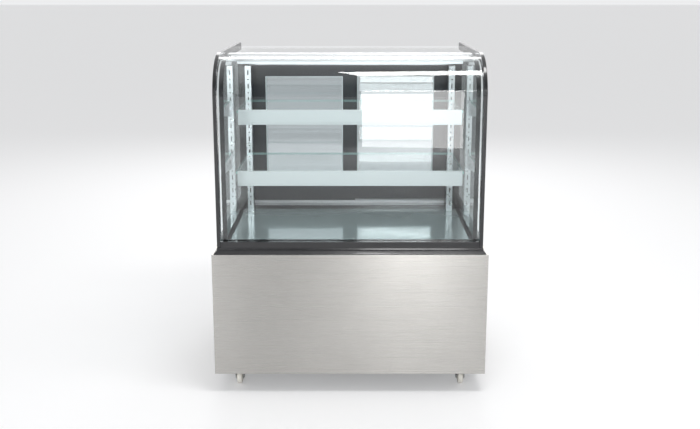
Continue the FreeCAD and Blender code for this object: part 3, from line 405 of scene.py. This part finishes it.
def add_lathe(mesh, profile, centre, axis="x", steps=48):
    """Turn a profile of (along, radius) pairs about an axis."""
    rings = []
    for along, radius in profile:
        ring = []
        for step in range(steps):
            angle = 2 * math.pi * step / steps
            side, rise = radius * math.cos(angle), radius * math.sin(angle)
            offset = (along, side, rise) if axis == "x" else (side, along, rise)
            ring.append(mesh.verts.new(Vector(centre) + Vector(offset)))
        rings.append(ring)
    for number in range(len(rings)):
        here, there = rings[number], rings[(number + 1) % len(rings)]
        for step in range(steps):
            after = (step + 1) % steps
            mesh.faces.new((here[step], here[after], there[after], there[step]))


def add_ring(mesh, outer, inner, axis, low, high):
    """The band between two outlines of equal length, run along one axis."""
    loops = []
    for at, outline in ((low, outer), (low, inner), (high, inner), (high, outer)):
        loop = []
        for pair in outline:
            spot = (at, *pair) if axis == "x" else (pair[0], at, pair[1])
            loop.append(mesh.verts.new(spot))
        loops.append(loop)
    count = len(outer)
    for number in range(4):
        here, there = loops[number], loops[(number + 1) % 4]
        for step in range(count):
            after = (step + 1) % count
            mesh.faces.new((here[step], here[after], there[after], there[step]))


def grain_map(item):
    """UVs whose first direction is vertical, for steel that is brushed sideways."""
    layer = item.data.uv_layers.new(name="grain")
    for loop in item.data.loops:
        spot = item.data.vertices[loop.vertex_index].co
        layer.data[loop.index].uv = (spot.z, spot.x + spot.y)
    return item


# --------------------------------------------------------------- object pieces

def make_front_panel():
    """The folded front panel, with a hemmed lip along its top."""
    low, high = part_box("front_panel")
    sheet = 1.5 * MM
    hem = 6 * MM
    outline = [(low.y, low.z), (low.y, high.z), (high.y, high.z), (high.y, high.z - sheet - hem),
               (high.y - sheet, high.z - sheet - hem), (high.y - sheet, high.z - sheet),
               (low.y + sheet, high.z - sheet), (low.y + sheet, low.z)]
    mesh = bmesh.new()
    add_prism(mesh, outline, "x", low.x, high.x)
    panel = piece("front_panel_skin", mesh, [FRONT_STEEL], replaces=["front_panel"])
    grain_map(panel)
    return soften(panel, 0.7 * MM)


def make_trim():
    """The black skirt, with the crease above its flare."""
    low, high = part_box("plinth_trim")
    slab_low, slab_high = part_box("insulated_deck")
    flare = 10 * MM
    foot = 2 * MM
    above_crease = (8 * MM, 0.6 * MM)
    below_crease = (10 * MM, 2.2 * MM)
    levels = [(high.z, 0.0), (high.z - above_crease[0], above_crease[1]),
              (high.z - below_crease[0], below_crease[1]), (low.z + foot, flare), (low.z, flare)]
    half, front, rear = high.x - flare, low.y + flare, high.y
    rings = []
    for height, grow in levels:
        rings.append([(-half - grow, front - grow, height), (half + grow, front - grow, height),
                      (half + grow, rear, height), (-half - grow, rear, height)])
    for height in (low.z, high.z):
        rings.append([(slab_low.x, slab_low.y, height), (slab_high.x, slab_low.y, height),
                      (slab_high.x, slab_high.y, height), (slab_low.x, slab_high.y, height)])
    mesh = bmesh.new()
    loops = [[mesh.verts.new(spot) for spot in ring] for ring in rings]
    for number, here in enumerate(loops):
        there = loops[(number + 1) % len(loops)]
        for step in range(4):
            after = (step + 1) % 4
            mesh.faces.new((here[step], here[after], there[after], there[step]))
    skirt = piece("flared_skirt", mesh, [FINISH["black_paint"]], replaces=["plinth_trim"])
    return soften(skirt, 0.5 * MM, 2)


def case_line(inset):
    """The case's side outline, this far inside its outer edge, as (y, z) pairs."""
    low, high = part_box("end_frame_right")
    centre = (low.y + CASE_RADIUS, high.z - CASE_RADIUS)
    line = [(low.y + inset, low.z + inset), (high.y - inset, low.z + inset),
            (high.y - inset, high.z - inset)]
    for step in range(BEND_STEPS + 1):
        angle = math.pi / 2 * (1 + step / BEND_STEPS)
        line.append((centre[0] + (CASE_RADIUS - inset) * math.cos(angle),
                     centre[1] + (CASE_RADIUS - inset) * math.sin(angle)))
    return line


def make_end_frames():
    """The black profiles round the end panes, with rounded edges."""
    band = 26 * MM
    for side in ("left", "right"):
        low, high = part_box("end_frame_" + side)
        mesh = bmesh.new()
        add_ring(mesh, case_line(0.0), case_line(band), "x", low.x, high.x)
        frame_piece = piece("end_profile_" + side, mesh, [FINISH["black_paint"]],
                            replaces=["end_frame_" + side])
        soften(frame_piece, 2.2 * MM)


def make_front_border():
    """The black printed border inside the two side edges of the front glass."""
    low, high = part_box("front_glass")
    deep = 6.2 * MM
    film = 0.5 * MM
    border = 14 * MM
    centre = (low.y + BEND_RADIUS, high.z - BEND_RADIUS)
    for side, hand in (("left", -1), ("right", 1)):
        edges = sorted((hand * high.x, hand * (high.x - border)))
        mesh = bmesh.new()
        lines = []
        for inset in (deep, deep + film):
            line = [(low.y + inset, low.z)]
            for step in range(BEND_STEPS + 1):
                angle = math.pi - math.pi / 2 * step / BEND_STEPS
                line.append((centre[0] + (BEND_RADIUS - inset) * math.cos(angle),
                             centre[1] + (BEND_RADIUS - inset) * math.sin(angle)))
            line.append((high.y, high.z - inset))
            lines.append(line)
        outline = lines[0] + lines[1][::-1]
        add_prism(mesh, outline, "x", *edges)
        piece("glass_border_" + side, mesh, [FINISH["black_paint"]])


def make_front_rail():
    """The grooved bottom rail with softened edges."""
    low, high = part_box("front_bottom_rail")
    glass_low, glass_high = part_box("front_glass")
    groove = (glass_low.y - FIT_GAP, glass_low.y + PANE + FIT_GAP)
    foot = glass_low.z - FIT_GAP
    outline = [(low.y, low.z), (high.y, low.z), (high.y, high.z), (groove[1], high.z), (groove[1], foot),
               (groove[0], foot), (groove[0], high.z), (low.y, high.z)]
    mesh = bmesh.new()
    add_prism(mesh, outline, "x", glass_low.x - FIT_GAP, glass_high.x + FIT_GAP)
    for hand in (-1, 1):
        near, far = sorted((hand * (glass_high.x + FIT_GAP), hand * high.x))
        add_box(mesh, (near, low.y, low.z), (far, groove[0], high.z))
    rail = piece("grooved_rail", mesh, [FINISH["black_paint"]], replaces=["front_bottom_rail"])
    return soften(rail, 0.8 * MM)


def make_joint_rail():
    """The roof rail with a centre groove and rounded edges."""
    low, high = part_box("top_joint_rail")
    middle = (low.y + high.y) / 2
    mouth = 6 * MM
    bed = 5 * MM
    depth = 1.5 * MM
    outline = [(low.y, low.z), (high.y, low.z), (high.y, high.z), (middle + mouth, high.z),
               (middle + bed, high.z - depth), (middle - bed, high.z - depth),
               (middle - mouth, high.z), (low.y, high.z)]
    mesh = bmesh.new()
    add_prism(mesh, outline, "x", low.x, high.x)
    return soften(piece("roof_rail", mesh, [FINISH["aluminium_rail"]],
                        replaces=["top_joint_rail"]), 0.6 * MM)


def make_shelf(level):
    """A polished glass shelf and the pale strip that grips its front edge."""
    low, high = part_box(level + "_shelf_glass")
    mesh = bmesh.new()
    add_box(mesh, low, high)
    slab = piece(level + "_shelf_slab", mesh, [FINISH["shelf_glass"], FINISH["shelf_edge"]],
                 replaces=[level + "_shelf_glass"])
    for face in slab.data.polygons:
        face.material_index = 0 if abs(face.normal.z) > 0.5 else 1
    low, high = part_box(level + "_shelf_strip")
    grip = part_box(level + "_shelf_glass")
    lens = 7 * MM
    groove = 1.2 * MM
    groove_slope = 1.0 * MM
    groove_floor = 2.2 * MM
    lip = 1.4 * MM
    chamfer = 0.6 * MM
    slot_front = grip[0].y - FIT_GAP
    slot_low = grip[0].z - FIT_GAP
    slot_high = grip[1].z + FIT_GAP
    outline = [(low.y, low.z + lens), (low.y + groove, low.z + lens - groove_slope),
               (low.y + groove, low.z + groove_floor), (low.y, low.z + lip),
               (low.y + chamfer, low.z), (high.y, low.z), (high.y, slot_low),
               (slot_front, slot_low), (slot_front, slot_high), (high.y, slot_high),
               (high.y, high.z), (low.y, high.z)]
    mesh = bmesh.new()
    add_prism(mesh, outline, "x", low.x, high.x)
    strip = piece(level + "_price_strip", mesh, [FINISH["pale_strip"]],
                  replaces=[level + "_shelf_strip"])
    return soften(strip, 0.5 * MM)


def make_door_trim(side):
    """Pale glazing beads round the pane, on both faces of a door."""
    pane_low, pane_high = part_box(side + "_door_glass")
    door_low, door_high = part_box(side + "_door_frame")
    bead = 4 * MM
    outer = [(pane_low.x, pane_low.z), (pane_high.x, pane_low.z), (pane_high.x, pane_high.z),
             (pane_low.x, pane_high.z)]
    inner = [(pane_low.x + bead, pane_low.z + bead), (pane_high.x - bead, pane_low.z + bead),
             (pane_high.x - bead, pane_high.z - bead), (pane_low.x + bead, pane_high.z - bead)]
    mesh = bmesh.new()
    add_ring(mesh, outer, inner, "y", door_low.y + 0.5 * MM, pane_low.y)
    add_ring(mesh, outer, inner, "y", pane_high.y, door_high.y - 0.5 * MM)
    beads = piece(side + "_glazing_beads", mesh, [BEAD], body=side + "_door")
    return soften(beads, 0.6 * MM, 2)


def make_wheel(name):
    """A moulded wheel with a crowned tread, dished sides and a hub."""
    low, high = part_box("wheel_" + name)
    centre = (low + high) / 2
    half, radius = (high.x - low.x) / 2, (high.z - low.z) / 2
    bore = 4.05 * MM
    hub = 9 * MM
    dish = 3.5 * MM
    side = [(half, bore), (half, hub), (half - dish, hub + 1.5 * MM), (half - dish, radius - 7.5 * MM),
            (half - 0.8 * MM, radius - 6 * MM), (half - 0.6 * MM, radius - 3.2 * MM),
            (half - 2.4 * MM, radius - 0.9 * MM), (half - 5 * MM, radius)]
    profile = side + [(-along, out) for along, out in reversed(side)]
    mesh = bmesh.new()
    add_lathe(mesh, profile, centre)
    return soften(piece("caster_wheel_" + name, mesh, [FINISH["caster_wheel"]], body="wheel_" + name,
                        replaces=["wheel_" + name]), 0.4 * MM, 2)


def make_axle_nuts(name):
    """A hexagon nut on each end of a caster's axle."""
    low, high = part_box("fork_" + name)
    wheel_low, wheel_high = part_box("wheel_" + name)
    centre = (wheel_low + wheel_high) / 2
    radius = 6.5 * MM
    thick = 3 * MM
    skin = 0.2 * MM
    mesh = bmesh.new()
    for inner, outer in ((high.x - thick, high.x - skin), (low.x + skin, low.x + thick)):
        corners = []
        for number in range(6):
            angle = math.pi / 3 * number
            corners.append((centre.y + radius * math.cos(angle), centre.z + radius * math.sin(angle)))
        add_prism(mesh, corners, "x", inner, outer)
    return soften(piece("axle_nuts_" + name, mesh, [FINISH["caster_chrome"]], body="caster_" + name), 0.4 * MM, 2)


def make_controls():
    """The controller's lens and keys, and the apron's screws."""
    key_profile = [(0.0, 0.2 * MM), (0.0, 3.2 * MM), (1.0 * MM, 2.8 * MM), (1.2 * MM, 0.2 * MM)]
    screw_profile = [(0.0, 0.2 * MM), (0.0, 4.5 * MM), (1.2 * MM, 3.8 * MM), (2.2 * MM, 0.2 * MM)]
    low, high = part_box("temperature_controller")
    middle = (low.z + high.z) / 2
    mesh = bmesh.new()
    lens_left = -34 * MM
    lens_right = 14 * MM
    lens_half = 12 * MM
    lens_thick = 0.8 * MM
    add_box(mesh, (lens_left, high.y, middle - lens_half),
            (lens_right, high.y + lens_thick, middle + lens_half))
    soften(piece("controller_lens", mesh, [DISPLAY]), 0.4 * MM, 2)
    mesh = bmesh.new()
    for number in range(4):
        x = (19 + 9 * (number % 2)) * MM
        z = middle + (6 if number < 2 else -6) * MM
        add_lathe(mesh, key_profile, (x, high.y, z), "y", DOME_STEPS)
    piece("controller_keys", mesh, [FINISH["rocker_plastic"]])
    apron_low, apron_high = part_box("rear_apron")
    bezel_proud = 2 * MM
    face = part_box("switch_housing")[1].y - bezel_proud
    mesh = bmesh.new()
    for x in (-430, -220, 220, 430):
        for z in (apron_low.z + 12 * MM, apron_high.z - 10 * MM):
            add_lathe(mesh, screw_profile, (x * MM, face, z), "y", DOME_STEPS)
    screws = piece("apron_screws", mesh, [FINISH["caster_chrome"]])
    for polygon in screws.data.polygons:
        polygon.use_smooth = True


def make_object():
    """Every modelled piece round the CAD frame."""
    finish_cad_nodes()
    make_front_panel()
    make_trim()
    make_end_frames()
    make_front_border()
    make_front_rail()
    make_joint_rail()
    for level in ("upper", "lower"):
        make_shelf(level)
    for side in ("left", "right"):
        make_door_trim(side)
        for end in ("front", "rear"):
            make_wheel("%s_%s" % (end, side))
            make_axle_nuts("%s_%s" % (end, side))
    make_controls()


# ------------------------------------------------------------------------ stage

def make_world():
    """Soft light all round, a white ground for the eye, a graded room for metal and glass."""
    diffuse_level = 0.62
    front_level = 0.16
    ceiling_level = 0.7
    world = bpy.data.worlds.new("studio")
    world.use_nodes = True
    bpy.context.scene.world = world
    tree = world.node_tree
    tree.nodes.clear()

    def add(kind, **settings):
        node = tree.nodes.new(kind)
        for name, setting in settings.items():
            setattr(node, name, setting)
        return node

    def ramp(source, start, stop, low, high):
        node = add("ShaderNodeMapRange")
        for socket, setting in zip(("From Min", "From Max", "To Min", "To Max"), (start, stop, low, high)):
            node.inputs[socket].default_value = setting
        tree.links.new(source, node.inputs["Value"])
        return node.outputs["Result"]

    where = add("ShaderNodeTexCoord")
    split = add("ShaderNodeSeparateXYZ")
    tree.links.new(where.outputs["Generated"], split.inputs["Vector"])
    behind = ramp(split.outputs["Y"], -0.7, 0.1, front_level, BACKDROP)
    above = ramp(split.outputs["Z"], 0.35, 0.95, 0.0, ceiling_level)
    room = add("ShaderNodeMath", operation="MAXIMUM")
    tree.links.new(behind, room.inputs[0])
    tree.links.new(above, room.inputs[1])
    path = add("ShaderNodeLightPath")
    seen = add("ShaderNodeMath", operation="MAXIMUM")
    tree.links.new(path.outputs["Is Glossy Ray"], seen.inputs[0])
    tree.links.new(path.outputs["Is Transmission Ray"], seen.inputs[1])
    lit = add("ShaderNodeMix", data_type="FLOAT")
    lit.inputs[PLAIN_A].default_value = diffuse_level
    tree.links.new(seen.outputs[0], lit.inputs["Factor"])
    tree.links.new(room.outputs[0], lit.inputs[PLAIN_B])
    white = add("ShaderNodeMix", data_type="FLOAT")
    white.inputs[PLAIN_B].default_value = BACKDROP
    tree.links.new(path.outputs["Is Camera Ray"], white.inputs["Factor"])
    tree.links.new(lit.outputs[0], white.inputs[PLAIN_A])
    background = add("ShaderNodeBackground")
    background.inputs["Color"].default_value = (0.985, 0.99, 1.0, 1.0)
    tree.links.new(white.outputs[0], background.inputs["Strength"])
    output = add("ShaderNodeOutputWorld")
    tree.links.new(background.outputs[0], output.inputs["Surface"])


def make_floor():
    """A plain pale floor that keeps the object's shadow."""
    shader = Shader("floor_paint", (0.80, 0.80, 0.805), 0.7)
    shader.set("Specular IOR Level", 0.1)
    path = shader.add("ShaderNodeLightPath")
    lift = shader.add("ShaderNodeMath", operation="MULTIPLY")
    lift.inputs[1].default_value = 0.22
    shader.link(path.outputs["Is Camera Ray"], lift.inputs[0])
    shader.set("Emission Color", (1.0, 1.0, 1.0, 1.0))
    shader.link(lift.outputs[0], shader.surface.inputs["Emission Strength"])
    mesh = bmesh.new()
    half = 60.0
    corners = ((-1, -1), (1, -1), (1, 1), (-1, 1))
    mesh.faces.new([mesh.verts.new((x * half, y * half, 0.0)) for x, y in corners])
    data = bpy.data.meshes.new("floor")
    mesh.to_mesh(data)
    mesh.free()
    floor = bpy.data.objects.new("floor", data)
    data.materials.append(shader.material)
    bpy.context.scene.collection.objects.link(floor)


def area_light(name, spot, aim, size, watts):
    lamp = bpy.data.lights.new(name, "AREA")
    lamp.shape = "RECTANGLE"
    lamp.size, lamp.size_y = size
    lamp.energy = watts
    item = bpy.data.objects.new(name, lamp)
    item.location = spot
    item.rotation_euler = (Vector(aim) - Vector(spot)).to_track_quat("-Z", "Y").to_euler()
    bpy.context.scene.collection.objects.link(item)


def make_lights():
    """Soft boxes overhead, behind the camera and behind the object."""
    area_light("overhead", (0.62, -0.85, 3.0), (0.45, -0.2, 1.0), (1.3, 0.55), 26)
    area_light("right_card", (0.52, -4.6, 0.9), (0.1, 0.0, 0.6), (0.85, 2.6), 34)
    area_light("left_card", (-1.75, -4.3, 1.2), (0.0, 0.0, 0.6), (0.9, 2.6), 30)
    area_light("ceiling_strip", (0.68, -5.0, 2.2), (0.2, 0.0, 0.9), (1.1, 0.05), 5)
    area_light("rear_fill", (0.0, 3.2, 2.6), (0.0, 0.0, 0.6), (3.0, 1.6), 45)


def make_camera():
    """The camera, straight in front of the object and tilted a little down."""
    tilt = 11.0
    distance = 2.949
    height = 1.336
    lens = bpy.data.cameras.new("camera")
    lens.sensor_width = 36.0
    lens.lens = 43.2
    lens.shift_y = -0.0921
    lens.clip_end = 200.0
    camera = bpy.data.objects.new("camera", lens)
    camera.location = (0.0, -distance, height)
    camera.rotation_euler = (math.radians(90 - tilt), 0.0, 0.0)
    bpy.context.scene.collection.objects.link(camera)
    bpy.context.scene.camera = camera


make_camera()
make_object()
make_floor()
make_world()
make_lights()
bpy.context.scene.view_settings.view_transform = "Standard"
